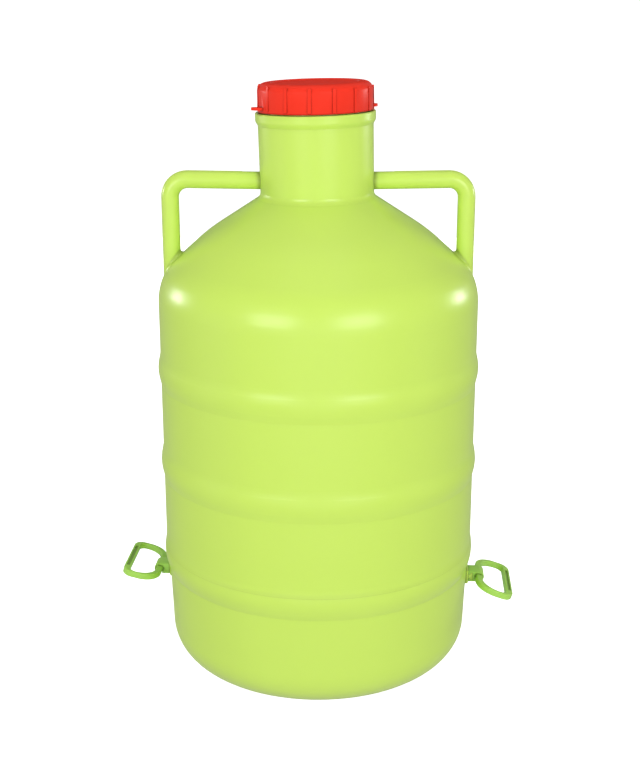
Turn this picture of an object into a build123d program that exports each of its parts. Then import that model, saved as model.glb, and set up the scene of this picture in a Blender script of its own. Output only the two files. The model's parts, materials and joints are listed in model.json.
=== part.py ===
from build123d import *
import os
from math import cos, radians, sin, tan

# A blow-moulded carboy with two tube handles beside its neck, a ribbed screw cap on a flat
# gasket, and a hinged loop handle low on each flank.
# Frame: millimetres, +Z up along the body's axis, origin on the floor at the middle of the base.
# The tube handles lie in the XZ plane.

# --- Body shell -------------------------------------------------------------------------------
wall = 3.5
body_radius = 185.0

push_up = 7.0
push_up_radius = 72.0
standing_ring_radius = 104.0
push_up_edge_radii = (20.0, 8.0)
pinch_length = 110.0
pinch_width = 2.4
pinch_proud = 1.5

# Insets are measured inwards from the body's radius.
foot_inset = 7.5
foot_top_inset = 3.0
base_corner_radius = 45.0

# A hoop rises from a sharp crease to a rounded crest and runs softly back into the wall.
hoop_creases = (118.5, 234.5, 347.0)
hoop_crest_rise = 18.0
hoop_height = 32.8
hoop_peak = 4.1
hoop_crest_radius = 40.0
hoop_top_radius = 35.0

shoulder_corner_height = 469.5
shoulder_corner_radius = 61.0
dome_break_inset = 57.0
dome_break_rise = 51.5
dome_break_radius = 220.0
dome_rise = 91.5

# --- Neck: heights are measured from its root along its own axis, which leans a little ---------
# The neck stands slightly off the body's axis, too.
neck_lean = 1.3
neck_shift = -1.1
neck_radius = 64.6
neck_flare = 0.5
neck_root_fillet = 8.0

flange_proud = 3.2
flange_foot = 80.8
flange_taper = 4.8
flange_thickness = 14.2
flange_edge_chamfer = 0.9

finish_step = 6.1
finish_height = 25.5
finish_wall = 5.5

# --- Tube handles ------------------------------------------------------------------------------
tube_radius = 10.0
tube_rise = 19.2
tube_inset = 16.3
tube_tilt = 0.9
tube_bend_radius = 20.0
tube_root_fillet = 3.0

# --- Screw cap and gasket ----------------------------------------------------------------------
cap_clearance = 1.2
thread_room = 3.6
cap_wall = 2.6
cap_top_thickness = 4.5
cap_corner_radius = 9.0
cap_rim_width = 14.7
cap_recess_depth = 1.5

rib_count = 15
rib_width = 3.8
rib_proud = 1.1
rib_top_margin = 5.0
rib_phase = 18.3

ear_reach = 11.2
ear_width = 13.0
ear_thickness = 3.0
ear_hole_radius = 2.0
ear_hole_margin = 5.5
ear_lift = 0.3
ear_turn = 22.0

gasket_thickness = 2.2
gasket_width = 9.0
gasket_clearance = 0.2

# --- Loop handles ------------------------------------------------------------------------------
hinge_reach = 12.5
hinge_height = 98.0
hinge_turn = -3.7

loop_bar_width = 7.4
loop_depth = 44.8
loop_length = 90.0
loop_thickness = 7.5
loop_arm_width = 4.0
loop_grip_width = 8.0
loop_root_radius = 25.0
loop_tip_radius = 12.0
loop_window_straight = 0.4
loop_edge_chamfer = 0.8
loop_angle_left = 14.0
loop_angle_right = -18.0

grip_groove_width = 3.6
grip_groove_depth = 1.8
grip_groove_length = 58.0

pin_radius = 3.5
pin_clearance = 0.1
pin_root = 1.0

# --- Brackets and the rails that they slide on ---------------------------------------------------
bracket_length = 20.0
bracket_radius = 6.5
bracket_side_clearance = 0.6
snap_slot_width = 5.6

lug_inset = 0.5
lug_length = 24.0
lug_height = 17.0
lug_edge_radius = 2.5

rail_neck_half = 2.5
rail_neck_depth = 2.5
rail_head_half = 4.5
rail_head_depth = 2.5
rail_stop = 2.0
rail_clearance = 0.2

# --- Values worked out from the sizes above ------------------------------------------------------
dome_break_height = shoulder_corner_height + dome_break_rise
neck_root_height = shoulder_corner_height + dome_rise
neck_root = Vector(neck_shift, 0, neck_root_height)
neck_side = Vector(cos(radians(neck_lean)), 0, sin(radians(neck_lean)))
neck_up = Vector(-sin(radians(neck_lean)), 0, cos(radians(neck_lean)))
neck_axis = Axis(neck_root, neck_up)
neck_section_plane = Plane(origin=neck_root, x_dir=neck_side, z_dir=(0, -1, 0))
neck_bore_radius = neck_radius - wall
# The neck is drawn down through the shell's top, so that the two join without a gap.
neck_sunk = 3 * wall

flange_radius = neck_radius + flange_proud
flange_top = flange_foot + flange_thickness
finish_radius = neck_radius - finish_step
mouth_radius = finish_radius - finish_wall
rim_height = flange_top + finish_height

tube_height = neck_root_height + tube_rise
tube_reach = body_radius - tube_inset

cap_inner_radius = finish_radius + thread_room
cap_radius = cap_inner_radius + cap_wall
cap_recess_radius = cap_radius - cap_rim_width
ceiling_height = rim_height + gasket_thickness + gasket_clearance
cap_bottom = flange_top + cap_clearance
cap_top = ceiling_height + cap_top_thickness
# Ribs and ears start half-way into the cap's wall.
cap_skirt_middle = cap_radius - cap_wall / 2
ear_tip_radius = cap_radius + ear_reach

lug_face_radius = body_radius - lug_inset
hinge_radius = lug_face_radius + hinge_reach

# A rail runs from rail_start, on one side of the bracket's middle, to the bracket's far end.
rail_length = bracket_length - rail_stop - rail_clearance
rail_start = bracket_length / 2 - rail_length


def neck_plane(height):
    """A plane square to the neck's axis, at a height above the neck's root."""
    return Plane(origin=neck_root + neck_up * height, x_dir=neck_side, z_dir=neck_up)


def hinge_plane(side, rise=0.0):
    """At a loop's hinge: x points out from the body, y along the pin, z up, tipped up by rise.

    The side is +1 on the right and -1 on the left.
    """
    azimuth = radians(hinge_turn if side > 0 else 180.0 + hinge_turn)
    out = Vector(cos(azimuth), sin(azimuth), 0)
    up = Vector(0, 0, 1)
    lift = radians(rise)
    return Plane(
        origin=out * hinge_radius + up * hinge_height,
        x_dir=out * cos(lift) + up * sin(lift),
        z_dir=up * cos(lift) - out * sin(lift),
    )


def pin_section_plane(side, along=0.0):
    """A plane square to the pin: x points out from the body and y up."""
    hinge = hinge_plane(side)
    return Plane(origin=hinge.origin - hinge.y_dir * along, x_dir=hinge.x_dir, z_dir=-hinge.y_dir)


def body_outline():
    """Corners and corner radii of the body's right half, from the middle of the base up."""
    corners = [
        (0, push_up, None),
        (push_up_radius, push_up, push_up_edge_radii[0]),
        (standing_ring_radius, 0, push_up_edge_radii[1]),
        (body_radius - foot_inset, 0, base_corner_radius),
        (body_radius - foot_top_inset, hoop_creases[0], 0),
    ]
    for crease in hoop_creases:
        if crease != hoop_creases[0]:
            corners.append((body_radius, crease, 0))
        corners.append((body_radius + hoop_peak, crease + hoop_crest_rise, hoop_crest_radius))
        corners.append((body_radius, crease + hoop_height, hoop_top_radius))
    corners.append((body_radius, shoulder_corner_height, shoulder_corner_radius))
    corners.append((body_radius - dome_break_inset, dome_break_height, dome_break_radius))
    corners.append((neck_bore_radius, neck_root_height + wall, 0))
    corners.append((0, neck_root_height + wall, None))
    points = [(r, z) for r, z, _ in corners]
    radii = [radius for _, _, radius in corners[1:-1]]
    return points, radii


def rail_section(clearance):
    """The T of a rail, drawn out from the lug's face at local x = 0, grown by a clearance."""
    with BuildSketch() as tee:
        Rectangle(
            rail_neck_depth + rail_head_depth / 2,
            2 * (rail_neck_half + clearance),
            align=(Align.MIN, Align.CENTER),
        )
        with Locations((rail_neck_depth - clearance, 0)):
            Rectangle(
                rail_head_depth + 2 * clearance,
                2 * (rail_head_half + clearance),
                align=(Align.MIN, Align.CENTER),
            )
    return tee.sketch


def make_lug(side):
    """A lug on the body's flank with a T rail on its face, to be joined to the shell."""
    plane = hinge_plane(side)
    face = -hinge_reach
    root = face + lug_inset - 2 * wall
    with BuildPart() as lug:
        with BuildSketch(plane):
            with Locations((root, 0)):
                Rectangle(face - root, lug_length, align=(Align.MIN, Align.CENTER))
        extrude(amount=lug_height / 2, both=True)
        outermost = lug.faces().sort_by(Axis(plane.origin, plane.x_dir))[-1]
        fillet(outermost.edges(), lug_edge_radius)
        with BuildSketch(pin_section_plane(side, rail_start)):
            with Locations((face, 0)):
                add(rail_section(0))
            with Locations((face - lug_edge_radius, 0)):
                Rectangle(lug_edge_radius, 2 * rail_neck_half, align=(Align.MIN, Align.CENTER))
        extrude(amount=rail_length)
    return lug.part


def make_tube(side, radius):
    """A round bar from inside the neck, rising a little outwards, and down through the shoulder."""
    run = tube_reach - neck_bore_radius / 2
    with BuildPart() as tube:
        with BuildLine(Plane.XZ) as path:
            FilletPolyline(
                (side * neck_bore_radius / 2, tube_height - run * tan(radians(tube_tilt))),
                (side * tube_reach, tube_height),
                (side * tube_reach, shoulder_corner_height - 2 * tube_radius),
                radius=tube_bend_radius,
            )
        with BuildSketch(Plane(path.line @ 0, z_dir=path.line % 0)):
            Circle(radius)
        sweep(path=path.line)
    return tube.part


# --- Body: shell, neck, tube handles and lugs, moulded in one ------------------------------------
with BuildPart() as carboy_body:
    outline_points, outline_radii = body_outline()
    with BuildSketch(Plane.XZ) as shell_half:
        with BuildLine():
            outline = FilletPolyline(*outline_points, radius=outline_radii)
            Line(outline @ 1, outline @ 0)
        make_face()
    revolve(axis=Axis.Z)

    with BuildSketch(neck_section_plane) as neck_half:
        with BuildLine():
            Polyline(
                (0, -neck_sunk),
                (neck_radius, -neck_sunk),
                (neck_radius + neck_flare, flange_foot),
                (flange_radius, flange_foot + flange_taper),
                (flange_radius, flange_top),
                (finish_radius, flange_top),
                (finish_radius, rim_height),
                (0, rim_height),
                close=True,
            )
        make_face()
        flange_corners = neck_half.vertices().group_by(Axis.X)[-1]
        chamfer(flange_corners, flange_edge_chamfer)
    revolve(axis=neck_axis)
    root_edges = carboy_body.edges().filter_by(GeomType.BSPLINE).filter_by_position(
        Axis.Z, neck_root_height - 2 * wall, neck_root_height + 2 * wall
    )
    fillet(root_edges, neck_root_fillet)

    for side in (1, -1):
        add(make_tube(side, tube_radius))
        add(make_lug(side))

    tube_roots = (
        carboy_body.edges()
        .filter_by(GeomType.BSPLINE)
        .filter_by_position(Axis.Z, shoulder_corner_height - 2 * tube_radius, neck_root_height)
        .filter_by(lambda edge: abs(edge.center().X) > tube_reach - 2 * tube_radius)
    )
    fillet(tube_roots, tube_root_fillet)

    with BuildSketch(Plane.XY.offset(push_up - pinch_proud)):
        Rectangle(pinch_length, pinch_width)
    extrude(amount=pinch_proud + wall / 2)

    # The cavity follows the shell one wall inside, then the neck's bore and the two tubes open it.
    with BuildSketch(Plane.XZ) as cavity_half:
        add(shell_half.sketch_local)
        mirror(about=Plane.YZ)
        offset(amount=-wall, kind=Kind.INTERSECTION)
        Rectangle(
            2 * body_radius, 2 * neck_root_height, align=(Align.MIN, Align.CENTER), mode=Mode.INTERSECT
        )
    revolve(axis=Axis.Z, mode=Mode.SUBTRACT)
    with BuildSketch(neck_section_plane):
        with BuildLine():
            Polyline(
                (0, -neck_sunk),
                (neck_bore_radius, -neck_sunk),
                (neck_bore_radius, flange_foot),
                (mouth_radius, flange_top),
                (mouth_radius, rim_height),
                (0, rim_height),
                close=True,
            )
        make_face()
    revolve(axis=neck_axis, mode=Mode.SUBTRACT)
    for side in (1, -1):
        add(make_tube(side, tube_radius - wall), mode=Mode.SUBTRACT)

# --- Screw cap -----------------------------------------------------------------------------------
with BuildPart() as screw_cap:
    with BuildSketch(neck_section_plane) as cap_half:
        with BuildLine():
            Polyline(
                (0, ceiling_height),
                (cap_inner_radius, ceiling_height),
                (cap_inner_radius, cap_bottom),
                (cap_radius, cap_bottom),
                (cap_radius, cap_top),
                (cap_recess_radius, cap_top),
                (cap_recess_radius - cap_recess_depth, cap_top - cap_recess_depth),
                (0, cap_top - cap_recess_depth),
                close=True,
            )
        make_face()
        top_corner = cap_half.vertices().group_by(Axis.X)[-1].sort_by(Axis.Y)[-1]
        fillet(top_corner, cap_corner_radius)
    revolve(axis=neck_axis)
    rib_length = cap_top - rib_top_margin - cap_bottom
    for turn in range(rib_count):
        angle = rib_phase - 90 + turn * 360 / rib_count
        rib_plane = neck_plane(cap_bottom).rotated((0, 0, angle))
        face_plane = Plane(origin=rib_plane.origin, x_dir=rib_plane.y_dir, z_dir=rib_plane.x_dir)
        with BuildSketch(face_plane.offset(cap_skirt_middle)):
            Rectangle(rib_width, rib_length - rib_width / 2, align=(Align.CENTER, Align.MIN))
            with Locations((0, rib_length - rib_width / 2)):
                Circle(rib_width / 2)
        extrude(amount=cap_wall / 2 + rib_proud)
    for angle in (ear_turn, 180 + ear_turn):
        ear_round_middle = ear_tip_radius - ear_width / 2
        with BuildSketch(neck_plane(cap_bottom + ear_lift).rotated((0, 0, angle))):
            with Locations((cap_skirt_middle, 0)):
                Rectangle(
                    ear_round_middle - cap_skirt_middle, ear_width, align=(Align.MIN, Align.CENTER)
                )
            with Locations((ear_round_middle, 0)):
                Circle(ear_width / 2)
            with Locations((ear_tip_radius - ear_hole_margin, 0)):
                Circle(ear_hole_radius, mode=Mode.SUBTRACT)
        extrude(amount=ear_thickness)

# --- Gasket: a flat ring between the rim of the mouth and the cap's ceiling ------------------------
with BuildPart() as cap_gasket:
    with BuildSketch(neck_plane(rim_height)):
        Circle(finish_radius)
        Circle(finish_radius - gasket_width, mode=Mode.SUBTRACT)
    extrude(amount=gasket_thickness)


def make_bracket(side, label):
    """A saddle that slides on the rail from one end and snaps over the loop's pin from below."""
    with BuildPart() as bracket:
        with BuildSketch(pin_section_plane(side)):
            Rectangle(hinge_reach, 2 * bracket_radius, align=(Align.MAX, Align.CENTER))
            Circle(bracket_radius)
            Circle(pin_radius + pin_clearance, mode=Mode.SUBTRACT)
            Rectangle(
                snap_slot_width,
                bracket_radius,
                align=(Align.CENTER, Align.MAX),
                mode=Mode.SUBTRACT,
            )
        extrude(amount=bracket_length / 2, both=True)
        with BuildSketch(pin_section_plane(side, rail_start - rail_clearance)):
            with Locations((-hinge_reach, 0)):
                add(rail_section(rail_clearance))
        extrude(amount=bracket_length, mode=Mode.SUBTRACT)
    bracket.part.label = label
    return bracket.part


def make_loop(side, rise, label):
    """A flat loop handle: its inner bar is turned down to the pin that the bracket holds."""
    plane = hinge_plane(side, rise)
    window_depth = loop_depth - loop_bar_width - loop_grip_width
    window_tip_radius = loop_tip_radius - loop_arm_width
    window_root_radius = min(
        loop_root_radius - loop_arm_width, window_depth - window_tip_radius - loop_window_straight
    )
    with BuildPart() as loop:
        with BuildSketch(plane) as outline:
            with Locations((-loop_bar_width / 2, 0)):
                Rectangle(loop_depth, loop_length, align=(Align.MIN, Align.CENTER))
            fillet(outline.vertices().group_by(Axis.X)[0], loop_root_radius)
            fillet(outline.vertices().group_by(Axis.X)[-1], loop_tip_radius)
        extrude(amount=loop_thickness / 2, both=True)
        with BuildSketch(plane) as window:
            with Locations((loop_bar_width / 2, 0)):
                Rectangle(
                    window_depth, loop_length - 2 * loop_arm_width, align=(Align.MIN, Align.CENTER)
                )
            fillet(window.vertices().group_by(Axis.X)[0], window_root_radius)
            fillet(window.vertices().group_by(Axis.X)[-1], window_tip_radius)
        extrude(amount=loop_thickness / 2, both=True, mode=Mode.SUBTRACT)
        rims = loop.faces().filter_by(Axis(plane.origin, plane.z_dir)).edges()
        chamfer(rims, loop_edge_chamfer)

        pin_half = bracket_length / 2 + bracket_side_clearance
        with BuildSketch(plane):
            Rectangle(2 * loop_bar_width, 2 * pin_half)
        extrude(amount=loop_thickness, both=True, mode=Mode.SUBTRACT)
        with BuildSketch(Plane(origin=plane.origin, x_dir=plane.x_dir, z_dir=plane.y_dir)):
            Circle(pin_radius)
        extrude(amount=pin_half + pin_root, both=True)

        grip_middle = loop_depth - loop_bar_width / 2 - loop_grip_width / 2
        for face_side in (1, -1):
            with BuildSketch(plane.offset(face_side * loop_thickness / 2)):
                with Locations((grip_middle, 0)):
                    Rectangle(grip_groove_width, grip_groove_length)
            extrude(amount=-face_side * grip_groove_depth, mode=Mode.SUBTRACT)
    loop.part.label = label
    return loop.part


carboy_body.part.label = "carboy_body"
screw_cap.part.label = "screw_cap"
cap_gasket.part.label = "cap_gasket"
pieces = [
    carboy_body.part,
    screw_cap.part,
    cap_gasket.part,
    make_bracket(1, "handle_bracket_right"),
    make_bracket(-1, "handle_bracket_left"),
    make_loop(1, loop_angle_right, "tilt_handle_right"),
    make_loop(-1, loop_angle_left, "tilt_handle_left"),
]

os.makedirs("parts", exist_ok=True)
for piece in pieces:
    export_step(piece, f"parts/{piece.label}.step")
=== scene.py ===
"""Looks of the carboy: materials, softened mouldings, threads, parting line, studio and camera.

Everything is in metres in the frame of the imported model.
"""

import json
import math

import bmesh
import bpy
from mathutils import Matrix, Vector
from mathutils.bvhtree import BVHTree


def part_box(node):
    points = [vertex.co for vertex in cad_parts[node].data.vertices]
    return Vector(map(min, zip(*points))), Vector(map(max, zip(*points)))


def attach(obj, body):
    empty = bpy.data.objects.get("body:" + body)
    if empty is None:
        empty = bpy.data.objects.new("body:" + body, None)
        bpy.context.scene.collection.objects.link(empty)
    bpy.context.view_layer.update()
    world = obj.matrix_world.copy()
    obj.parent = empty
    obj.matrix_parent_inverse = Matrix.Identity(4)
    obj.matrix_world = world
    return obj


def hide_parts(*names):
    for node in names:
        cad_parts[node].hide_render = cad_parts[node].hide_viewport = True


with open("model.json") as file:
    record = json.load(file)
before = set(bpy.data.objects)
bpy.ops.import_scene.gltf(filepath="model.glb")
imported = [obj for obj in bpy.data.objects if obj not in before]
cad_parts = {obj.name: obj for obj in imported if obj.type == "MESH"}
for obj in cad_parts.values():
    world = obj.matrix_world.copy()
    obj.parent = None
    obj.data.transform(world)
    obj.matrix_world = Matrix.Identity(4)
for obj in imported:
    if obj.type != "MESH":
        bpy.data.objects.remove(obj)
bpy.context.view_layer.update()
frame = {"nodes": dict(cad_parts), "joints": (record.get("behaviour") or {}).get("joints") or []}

# --- Camera: the photograph's viewpoint, worked out from the object's silhouette ---
CAMERA_PLACE = (0.0, -1.510, 0.788)
CAMERA_PITCH_DEG = 16.83
CAMERA_PAN_DEG = 0.07
CAMERA_LENS_MM = 61.4
CAMERA_SENSOR_MM = 36.0

# --- Colours, linear ---
LIME = (0.580, 0.800, 0.125)
LIME_DEEP = (0.575, 0.796, 0.122)
RED = (0.88, 0.042, 0.022)
RED_DEEP = (0.83, 0.036, 0.018)
GRASS = (0.41, 0.71, 0.115)
GRASS_DEEP = (0.37, 0.66, 0.10)
GASKET_WHITE = (0.78, 0.77, 0.72)
GASKET_SHADE = (0.70, 0.69, 0.63)
FLOOR_WHITE = (0.80, 0.80, 0.80)

# --- Plastics: the scales of their patterns, and the painted shade that darkens a crease ---
CLOUD_SCALE = 5.0
SHEEN_SCALE = 12.0
WAVE_SCALE = 10.0
GRAIN_SCALE = 1100.0
GRAIN_STRENGTH = 0.5
PLASTIC_IOR = 1.5
DRAWN_OUT_UPWARDS = (1, 1, 0.4)

# Painted shade in creases: ambient occlusion darkens the colour towards a grey, as these set.
CREASE_SAMPLES = 16
PAINTED_CREASE_SHADE = 0.6
CREASE_DARKEST_AT = 0.70
CREASE_GONE_AT = 0.97

# The cap's top: how far upwards a face looks, from 0 to 1, where it turns matt and is fully so.
TOP_STARTS_AT = 0.80
TOP_FULL_AT = 0.97
TOP_ROUGHNESS = 0.8

# The mix node's own numbers for its two colours going in and the one coming out.
MIX_FIRST_COLOUR = 6
MIX_SECOND_COLOUR = 7
MIX_RESULT = 2

# --- Studio: sizes in metres, and the brightness straight below, level and straight above ---
FLOOR_RADIUS = 7.0
FLOOR_STEPS = 96
FLOOR_DROP = 0.0002
FLOOR_SAME_POINT = 1e-4
FLOOR_ROUGHNESS = 0.7
FLOOR_GLOW = 0.95
COVE_RADIUS = 5.0
COVE_STEPS = 16
STUDIO_BELOW = 0.66
STUDIO_LEVEL = 0.25
STUDIO_ABOVE = 0.30
LIGHTS_AIM_AT = (0, 0, 0.4)

# --- Moulded edges ---
CAP_EDGE = 0.0004
LOOP_EDGE = 0.0007
BRACKET_EDGE = 0.0006
EDGE_SEGMENTS = 3
EDGE_FROM_DEG = 32
FLAT_WITHIN_DEG = 1.0
SAME_POINT = 1e-6

# --- Threads: metres, turns, and shares of the ridge's length and of its height ---
THREAD_PITCH = 0.008
THREAD_TURNS = 1.75
THREAD_STEPS = 96
NECK_THREAD_PROUD = 0.0016
CAP_THREAD_PROUD = 0.0014
THREAD_ROOT_WIDTH = 0.0034
THREAD_CREST_WIDTH = 0.0014
THREAD_SUNK = 0.0004
NECK_THREAD_TURNS_BELOW_RIM = 0.55
CAP_THREAD_TURNS_ABOVE_EDGE = 0.45
THREAD_LEAD_IN_SHARE = 0.18
THREAD_LEAST_SHARE = 0.02

# --- Parting line: its section, and the fan of rays that finds its course ---
PARTING_HALF_WIDTH = 0.0006
PARTING_CREST_SHARE = 0.3
PARTING_PROUD = 0.00035
PARTING_STEPS = 420
PARTING_FIRST_DEG = -64
PARTING_FAN_DEG = 132
PARTING_FAN_HEIGHT = 0.55
PARTING_NECK_GAP = 0.055
PARTING_LUG_GAP = 0.006
PARTING_LONGEST_STEP = 0.02


# --- Materials ---
def new_material(name):
    material = bpy.data.materials.new(name)
    material.use_nodes = True
    return material


def principled(material):
    return material.node_tree.nodes["Principled BSDF"]


def noise(tree, scale, detail=2.0, stretch=(1, 1, 1)):
    """A noise texture in the piece's own metres, so that it stays put when the piece moves."""
    place = tree.nodes.new("ShaderNodeTexCoord")
    mapping = tree.nodes.new("ShaderNodeMapping")
    mapping.inputs["Scale"].default_value = stretch
    texture = tree.nodes.new("ShaderNodeTexNoise")
    texture.inputs["Scale"].default_value = scale
    texture.inputs["Detail"].default_value = detail
    tree.links.new(place.outputs["Object"], mapping.inputs["Vector"])
    tree.links.new(mapping.outputs["Vector"], texture.inputs["Vector"])
    return texture.outputs["Fac"]


def ramp(tree, value, stops):
    """A colour ramp over value; stops are (position, linear colour)."""
    node = tree.nodes.new("ShaderNodeValToRGB")
    elements = node.color_ramp.elements
    while len(elements) < len(stops):
        elements.new(0.5)
    for element, (position, colour) in zip(elements, stops):
        element.position = position
        element.color = (*colour, 1)
    tree.links.new(value, node.inputs["Fac"])
    return node.outputs["Color"]


def grey(value):
    return (value, value, value)


def bump(tree, height, distance, strength, before=None):
    node = tree.nodes.new("ShaderNodeBump")
    node.inputs["Distance"].default_value = distance
    node.inputs["Strength"].default_value = strength
    tree.links.new(height, node.inputs["Height"])
    if before is not None:
        tree.links.new(before, node.inputs["Normal"])
    return node.outputs["Normal"]


def painted_crease_shade(tree, colour, reach):
    """The colour with painted shade: darkened by ambient occlusion where surfaces meet in a crease
    within reach.
    """
    near = tree.nodes.new("ShaderNodeAmbientOcclusion")
    near.samples = CREASE_SAMPLES
    near.inputs["Distance"].default_value = reach
    # Painted shade: in the deepest creases the colour is multiplied down to this grey.
    stops = [(CREASE_DARKEST_AT, grey(PAINTED_CREASE_SHADE)), (CREASE_GONE_AT, grey(1.0))]
    shade = ramp(tree, near.outputs["AO"], stops)
    mix = tree.nodes.new("ShaderNodeMix")
    mix.data_type = "RGBA"
    mix.blend_type = "MULTIPLY"
    mix.inputs["Factor"].default_value = 1.0
    tree.links.new(colour, mix.inputs[MIX_FIRST_COLOUR])
    tree.links.new(shade, mix.inputs[MIX_SECOND_COLOUR])
    return mix.outputs[MIX_RESULT]


def between(tree, value, low, high):
    """A plain number between low and high, following value."""
    node = tree.nodes.new("ShaderNodeMapRange")
    node.inputs["To Min"].default_value = low
    node.inputs["To Max"].default_value = high
    tree.links.new(value, node.inputs["Value"])
    return node.outputs["Result"]


def moulded_plastic(name, colours, gloss, waves, grain, crease, stretch=(1, 1, 1)):
    """A moulded plastic.

    colours are (deep, plain), gloss the lowest and highest roughness, waves the depth of the
    slow unevenness of the wall, grain the depth of the fine mould texture and crease the reach
    of the painted shade, a darker line, in a crease.
    """
    material = new_material(name)
    tree = material.node_tree
    shader = principled(material)
    deep, plain = colours
    clouds = noise(tree, CLOUD_SCALE, detail=5.0, stretch=stretch)
    # The base colour carries painted shade in its creases.
    colour = painted_crease_shade(tree, ramp(tree, clouds, [(0.0, deep), (1.0, plain)]), crease)
    tree.links.new(colour, shader.inputs["Base Color"])
    sheen = noise(tree, SHEEN_SCALE, stretch=stretch)
    tree.links.new(between(tree, sheen, *gloss), shader.inputs["Roughness"])
    slow = bump(tree, noise(tree, WAVE_SCALE, stretch=stretch), waves, 1.0)
    specks = noise(tree, GRAIN_SCALE, detail=1.0)
    fine = bump(tree, specks, grain, GRAIN_STRENGTH, before=slow)
    tree.links.new(fine, shader.inputs["Normal"])
    shader.inputs["IOR"].default_value = PLASTIC_IOR
    return material


def lime_hdpe():
    """Blown polyethylene: satin, slightly uneven along its length, and a little translucent."""
    material = moulded_plastic(
        "lime_hdpe",
        (LIME_DEEP, LIME),
        gloss=(0.285, 0.315),
        waves=0.0004,
        grain=0.00001,
        crease=0.007,
        stretch=DRAWN_OUT_UPWARDS,
    )
    shader = principled(material)
    shader.inputs["Subsurface Weight"].default_value = 0.12
    shader.inputs["Subsurface Radius"].default_value = (0.9, 1.0, 0.35)
    shader.inputs["Subsurface Scale"].default_value = 0.005
    return material


def matt_top(material):
    """Gives the faces that look straight up the matt mould texture of a cap's top."""
    tree = material.node_tree
    rough = principled(material).inputs["Roughness"]
    sides = rough.links[0].from_socket
    place = tree.nodes.new("ShaderNodeTexCoord")
    split = tree.nodes.new("ShaderNodeSeparateXYZ")
    tree.links.new(place.outputs["Normal"], split.inputs["Vector"])
    blend = tree.nodes.new("ShaderNodeMapRange")
    blend.inputs["From Min"].default_value = TOP_STARTS_AT
    blend.inputs["From Max"].default_value = TOP_FULL_AT
    blend.inputs["To Max"].default_value = TOP_ROUGHNESS
    tree.links.new(split.outputs["Z"], blend.inputs["Value"])
    tree.links.new(sides, blend.inputs["To Min"])
    tree.links.new(blend.outputs["Result"], rough)


def red_cap_plastic():
    """Injection-moulded polypropylene, deep red, with a matt top."""
    material = moulded_plastic(
        "red_cap_plastic",
        (RED_DEEP, RED),
        gloss=(0.285, 0.34),
        waves=0.0001,
        grain=0.00001,
        crease=0.003,
    )
    shader = principled(material)
    shader.inputs["Specular IOR Level"].default_value = 0.1
    shader.inputs["Specular Tint"].default_value = (1.0, 0.4, 0.35, 1)
    matt_top(material)
    return material


def grass_green_plastic():
    return moulded_plastic(
        "grass_green_plastic",
        (GRASS_DEEP, GRASS),
        gloss=(0.285, 0.36),
        waves=0.0001,
        grain=0.00001,
        crease=0.003,
    )


def gasket_foam():
    return moulded_plastic(
        "gasket_foam",
        (GASKET_SHADE, GASKET_WHITE),
        gloss=(0.6, 0.75),
        waves=0.0001,
        grain=0.00003,
        crease=0.003,
    )


def paint(obj, material):
    obj.data.materials.clear()
    obj.data.materials.append(material)


# --- Pieces ---
def bm_object(name, bm):
    """Turns a bmesh into a smooth-shaded object of the scene."""
    mesh = bpy.data.meshes.new(name)
    bm.to_mesh(mesh)
    bm.free()
    for polygon in mesh.polygons:
        polygon.use_smooth = True
    obj = bpy.data.objects.new(name, mesh)
    bpy.context.scene.collection.objects.link(obj)
    return obj


def softened(node, body, name, width):
    """A copy of a CAD node, its sharp edges rounded as moulding leaves them, that replaces it."""
    source = frame["nodes"][node]
    bm = bmesh.new()
    bm.from_mesh(source.data)
    bm.transform(source.matrix_world)
    bmesh.ops.remove_doubles(bm, verts=bm.verts, dist=SAME_POINT)
    flat = math.radians(FLAT_WITHIN_DEG)
    bmesh.ops.dissolve_limit(bm, angle_limit=flat, verts=bm.verts, edges=bm.edges)
    piece = bm_object(name, bm)
    rounding = piece.modifiers.new("rounding", "BEVEL")
    rounding.limit_method = "ANGLE"
    rounding.angle_limit = math.radians(EDGE_FROM_DEG)
    rounding.width = width
    rounding.segments = EDGE_SEGMENTS
    rounding.harden_normals = True
    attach(piece, body)
    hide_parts(node)
    return piece


def joint(name):
    return next(entry for entry in frame["joints"] if entry["name"] == name)


def helix_ridge(name, start, root_radius, proud, phase, to_world):
    """A screw thread's ridge: a trapezoid swept up a helix, fading in and out at its ends.

    Its root lies at root_radius, and it stands proud outwards, or inwards where proud is negative.
    """
    bm = bmesh.new()
    rows = []
    for step in range(THREAD_STEPS + 1):
        share = step / THREAD_STEPS
        angle = phase + 2 * math.pi * THREAD_TURNS * share
        height = start + THREAD_PITCH * THREAD_TURNS * share
        fade = min(1.0, share / THREAD_LEAD_IN_SHARE, (1 - share) / THREAD_LEAD_IN_SHARE)
        fade = max(THREAD_LEAST_SHARE, math.sin(fade * math.pi / 2))
        crest = root_radius + proud * fade
        # The root is sunk a little into the wall that carries it.
        sunk = root_radius - math.copysign(THREAD_SUNK, proud)
        outline = (
            (sunk, -THREAD_ROOT_WIDTH / 2),
            (root_radius, -THREAD_ROOT_WIDTH / 2),
            (crest, -THREAD_CREST_WIDTH / 2),
            (crest, THREAD_CREST_WIDTH / 2),
            (root_radius, THREAD_ROOT_WIDTH / 2),
            (sunk, THREAD_ROOT_WIDTH / 2),
        )
        across, along = math.cos(angle), math.sin(angle)
        rows.append([bm.verts.new((r * across, r * along, height + dz)) for r, dz in outline])
    for lower, upper in zip(rows, rows[1:]):
        for k in range(len(lower)):
            after = (k + 1) % len(lower)
            bm.faces.new((lower[k], lower[after], upper[after], upper[k]))
    bm.faces.new(rows[0])
    bm.faces.new(list(reversed(rows[-1])))
    bmesh.ops.recalc_face_normals(bm, faces=bm.faces)
    bm.transform(to_world)
    return bm_object(name, bm)


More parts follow.
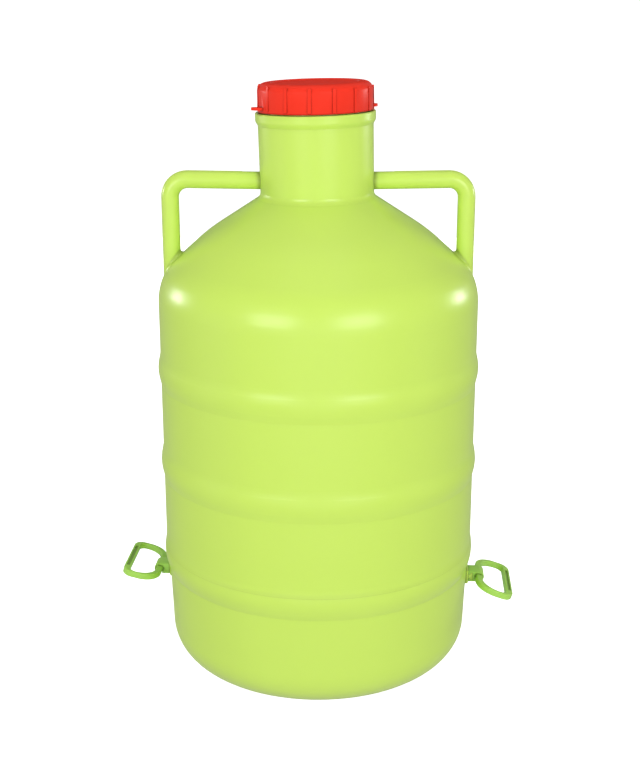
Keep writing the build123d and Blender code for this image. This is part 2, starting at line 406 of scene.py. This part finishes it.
def make_threads():
    """The threads of the neck and the cap, which the CAD model leaves out."""
    turn = joint("cap_turn")
    axis = Vector(turn["axis"]).normalized()
    upright = Vector((0, 0, 1)).rotation_difference(axis).to_matrix().to_4x4()
    to_world = Matrix.Translation(Vector(turn["pos_m"])) @ upright
    from_world = to_world.inverted()

    def along_axis(node):
        """Heights and radii of a CAD node's vertices about the neck's axis."""
        points = [from_world @ vert.co for vert in frame["nodes"][node].data.vertices]
        return [(point.z, math.hypot(point.x, point.y)) for point in points]

    body = along_axis("carboy_body")
    rim = max(height for height, _ in body)
    finish_radius = max(radius for height, radius in body if height > rim - THREAD_PITCH / 2)
    cap = along_axis("screw_cap")
    cap_bottom = min(height for height, _ in cap)
    ceiling = max(height for height, _ in along_axis("cap_gasket"))
    skirt_radius = min(radius for height, radius in cap if height < ceiling - THREAD_PITCH)

    neck_start = rim - THREAD_PITCH * (THREAD_TURNS + NECK_THREAD_TURNS_BELOW_RIM)
    neck_thread = helix_ridge(
        "neck_thread", neck_start, finish_radius, NECK_THREAD_PROUD, 0.0, to_world
    )
    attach(neck_thread, "carboy")
    cap_start = cap_bottom + THREAD_PITCH * CAP_THREAD_TURNS_ABOVE_EDGE
    cap_thread = helix_ridge(
        "cap_thread", cap_start, skirt_radius, -CAP_THREAD_PROUD, math.pi, to_world
    )
    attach(cap_thread, "cap")
    return neck_thread, cap_thread


def parting_points(side):
    """Points down the body's outline in the mould's parting plane, y = 0, with their normals.

    Rays come in towards a point inside the body, and those that hit the neck are left out.
    """
    body = frame["nodes"]["carboy_body"]
    bm = bmesh.new()
    bm.from_mesh(body.data)
    bm.transform(body.matrix_world)
    tree = BVHTree.FromBMesh(bm)
    bm.free()
    low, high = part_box("carboy_body")
    middle = Vector((0, 0, (low.z + high.z) * PARTING_FAN_HEIGHT))
    reach = (high - low).length
    neck_side = abs(joint("cap_turn")["pos_m"][0]) + PARTING_NECK_GAP
    points = []
    for step in range(PARTING_STEPS + 1):
        angle = math.radians(PARTING_FIRST_DEG + PARTING_FAN_DEG * step / PARTING_STEPS)
        ray = Vector((side * math.cos(angle), 0, math.sin(angle)))
        place, normal, _, _ = tree.ray_cast(middle + ray * reach, -ray)
        if place is not None and abs(place.x) > neck_side:
            points.append((place, normal))
    return points


def make_parting_line(side, name):
    """The fine raised line that the two halves of the blow mould leave along a flank."""
    bm = bmesh.new()
    across = Vector((0, 1, 0))
    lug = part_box("handle_bracket_right" if side > 0 else "handle_bracket_left")
    gap = (lug[0].z - PARTING_LUG_GAP, lug[1].z + PARTING_LUG_GAP)
    previous = None
    for place, normal in parting_points(side):
        if gap[0] < place.z < gap[1]:
            previous = None
            continue
        normal = Vector((normal.x, 0, normal.z)).normalized()
        foot = across * PARTING_HALF_WIDTH
        crest = across * PARTING_HALF_WIDTH * PARTING_CREST_SHARE
        rise = normal * PARTING_PROUD
        row = [
            bm.verts.new(place - foot - rise),
            bm.verts.new(place - crest + rise),
            bm.verts.new(place + crest + rise),
            bm.verts.new(place + foot - rise),
        ]
        if previous and (previous[0].co - row[0].co).length < PARTING_LONGEST_STEP:
            for k in range(3):
                bm.faces.new((previous[k], previous[k + 1], row[k + 1], row[k]))
        previous = row
    loose = [vert for vert in bm.verts if not vert.link_faces]
    bmesh.ops.delete(bm, geom=loose, context="VERTS")
    bmesh.ops.recalc_face_normals(bm, faces=bm.faces)
    line = bm_object(name, bm)
    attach(line, "carboy")
    return line


# --- Studio ---
def make_stage():
    """A white studio floor that curves up on every side, far from the object.

    It is hidden from glossy and diffuse rays, so the object's light and reflections come from
    the studio around it.
    """
    profile = [(0.0, 0.0), (FLOOR_RADIUS, 0.0)]
    for step in range(1, COVE_STEPS + 1):
        angle = math.pi / 2 * step / COVE_STEPS
        across = FLOOR_RADIUS + COVE_RADIUS * math.sin(angle)
        profile.append((across, COVE_RADIUS - COVE_RADIUS * math.cos(angle)))
    bm = bmesh.new()
    spine = [bm.verts.new((r, 0, z)) for r, z in profile]
    edges = [bm.edges.new(pair) for pair in zip(spine, spine[1:])]
    whole_turn = 2 * math.pi
    bmesh.ops.spin(
        bm,
        geom=spine + edges,
        axis=(0, 0, 1),
        cent=(0, 0, 0),
        steps=FLOOR_STEPS,
        angle=whole_turn,
    )
    bmesh.ops.remove_doubles(bm, verts=bm.verts, dist=FLOOR_SAME_POINT)
    bmesh.ops.recalc_face_normals(bm, faces=bm.faces)
    floor = bm_object("floor", bm)
    floor.location.z = -FLOOR_DROP
    floor.visible_glossy = False
    floor.visible_diffuse = False
    material = new_material("floor_white")
    shader = principled(material)
    shader.inputs["Base Color"].default_value = (*FLOOR_WHITE, 1)
    shader.inputs["Roughness"].default_value = FLOOR_ROUGHNESS
    shader.inputs["Emission Color"].default_value = (1, 1, 1, 1)
    shader.inputs["Emission Strength"].default_value = FLOOR_GLOW
    paint(floor, material)


def make_world():
    """Soft light from all round, graded from the floor's bounce over a dim level to the ceiling."""
    world = bpy.data.worlds.new("studio")
    bpy.context.scene.world = world
    world.use_nodes = True
    tree = world.node_tree
    place = tree.nodes.new("ShaderNodeTexCoord")
    split = tree.nodes.new("ShaderNodeSeparateXYZ")
    tree.links.new(place.outputs["Generated"], split.inputs["Vector"])
    height = tree.nodes.new("ShaderNodeMapRange")
    height.inputs["From Min"].default_value = -1.0
    tree.links.new(split.outputs["Z"], height.inputs["Value"])
    stops = [(0.0, grey(STUDIO_BELOW)), (0.5, grey(STUDIO_LEVEL)), (1.0, grey(STUDIO_ABOVE))]
    shade = ramp(tree, height.outputs["Result"], stops)
    tree.links.new(shade, tree.nodes["Background"].inputs["Color"])


def area_light(name, place, size, watts, mirrored=True):
    """A softbox that faces the middle of the object; one that isn't mirrored shows in no gloss."""
    data = bpy.data.lights.new(name, "AREA")
    data.shape = "RECTANGLE"
    data.size, data.size_y = size
    data.energy = watts
    light = bpy.data.objects.new(name, data)
    bpy.context.scene.collection.objects.link(light)
    light.location = place
    light.rotation_mode = "QUATERNION"
    facing = Vector(LIGHTS_AIM_AT) - Vector(place)
    light.rotation_quaternion = facing.to_track_quat("-Z", "Y")
    light.visible_glossy = mirrored


def make_lights():
    area_light("front_fill", (0, -2.6, 0.2), (2.4, 1.4), 16.5, mirrored=False)
    area_light("front_left", (-1.4, -2.3, 1.12), (1.3, 1.1), 24.5)
    area_light("front_right", (1.22, -2.3, 1.12), (1.3, 1.1), 24.5)
    for side, name in ((-1, "left"), (1, "right")):
        area_light("side_" + name, (side * 2.2, 1.1, 0.75), (0.5, 0.4), 10)
        area_light("side_fill_" + name, (side * 2.4, -0.6, 0.3), (1.2, 1.2), 9, mirrored=False)
    area_light("top", (0, -0.2, 2.6), (1.4, 1.4), 11, mirrored=False)
    area_light("back_fill", (0, 2.8, 0.5), (2.4, 1.4), 16.5, mirrored=False)


def make_camera():
    data = bpy.data.cameras.new("camera")
    data.lens = CAMERA_LENS_MM
    data.sensor_width = CAMERA_SENSOR_MM
    camera = bpy.data.objects.new("camera", data)
    bpy.context.scene.collection.objects.link(camera)
    camera.location = CAMERA_PLACE
    pitch = math.radians(90 - CAMERA_PITCH_DEG)
    camera.rotation_euler = (pitch, 0, math.radians(-CAMERA_PAN_DEG))
    bpy.context.scene.camera = camera


make_camera()

lime = lime_hdpe()
red = red_cap_plastic()
grass = grass_green_plastic()
paint(frame["nodes"]["carboy_body"], lime)
paint(frame["nodes"]["cap_gasket"], gasket_foam())

paint(softened("screw_cap", "cap", "cap_moulding", CAP_EDGE), red)
for side_name, side in (("left", -1), ("right", 1)):
    loop_node = "tilt_handle_" + side_name
    loop_body = side_name + "_loop"
    loop = softened(loop_node, loop_body, "loop_moulding_" + side_name, LOOP_EDGE)
    paint(loop, grass)
    bracket_node = "handle_bracket_" + side_name
    bracket_name = "bracket_moulding_" + side_name
    bracket = softened(bracket_node, "carboy", bracket_name, BRACKET_EDGE)
    paint(bracket, grass)
    paint(make_parting_line(side, "parting_line_" + side_name), lime)

neck_thread, cap_thread = make_threads()
paint(neck_thread, lime)
paint(cap_thread, red)

make_stage()
make_world()
make_lights()
bpy.context.scene.view_settings.view_transform = "Standard"
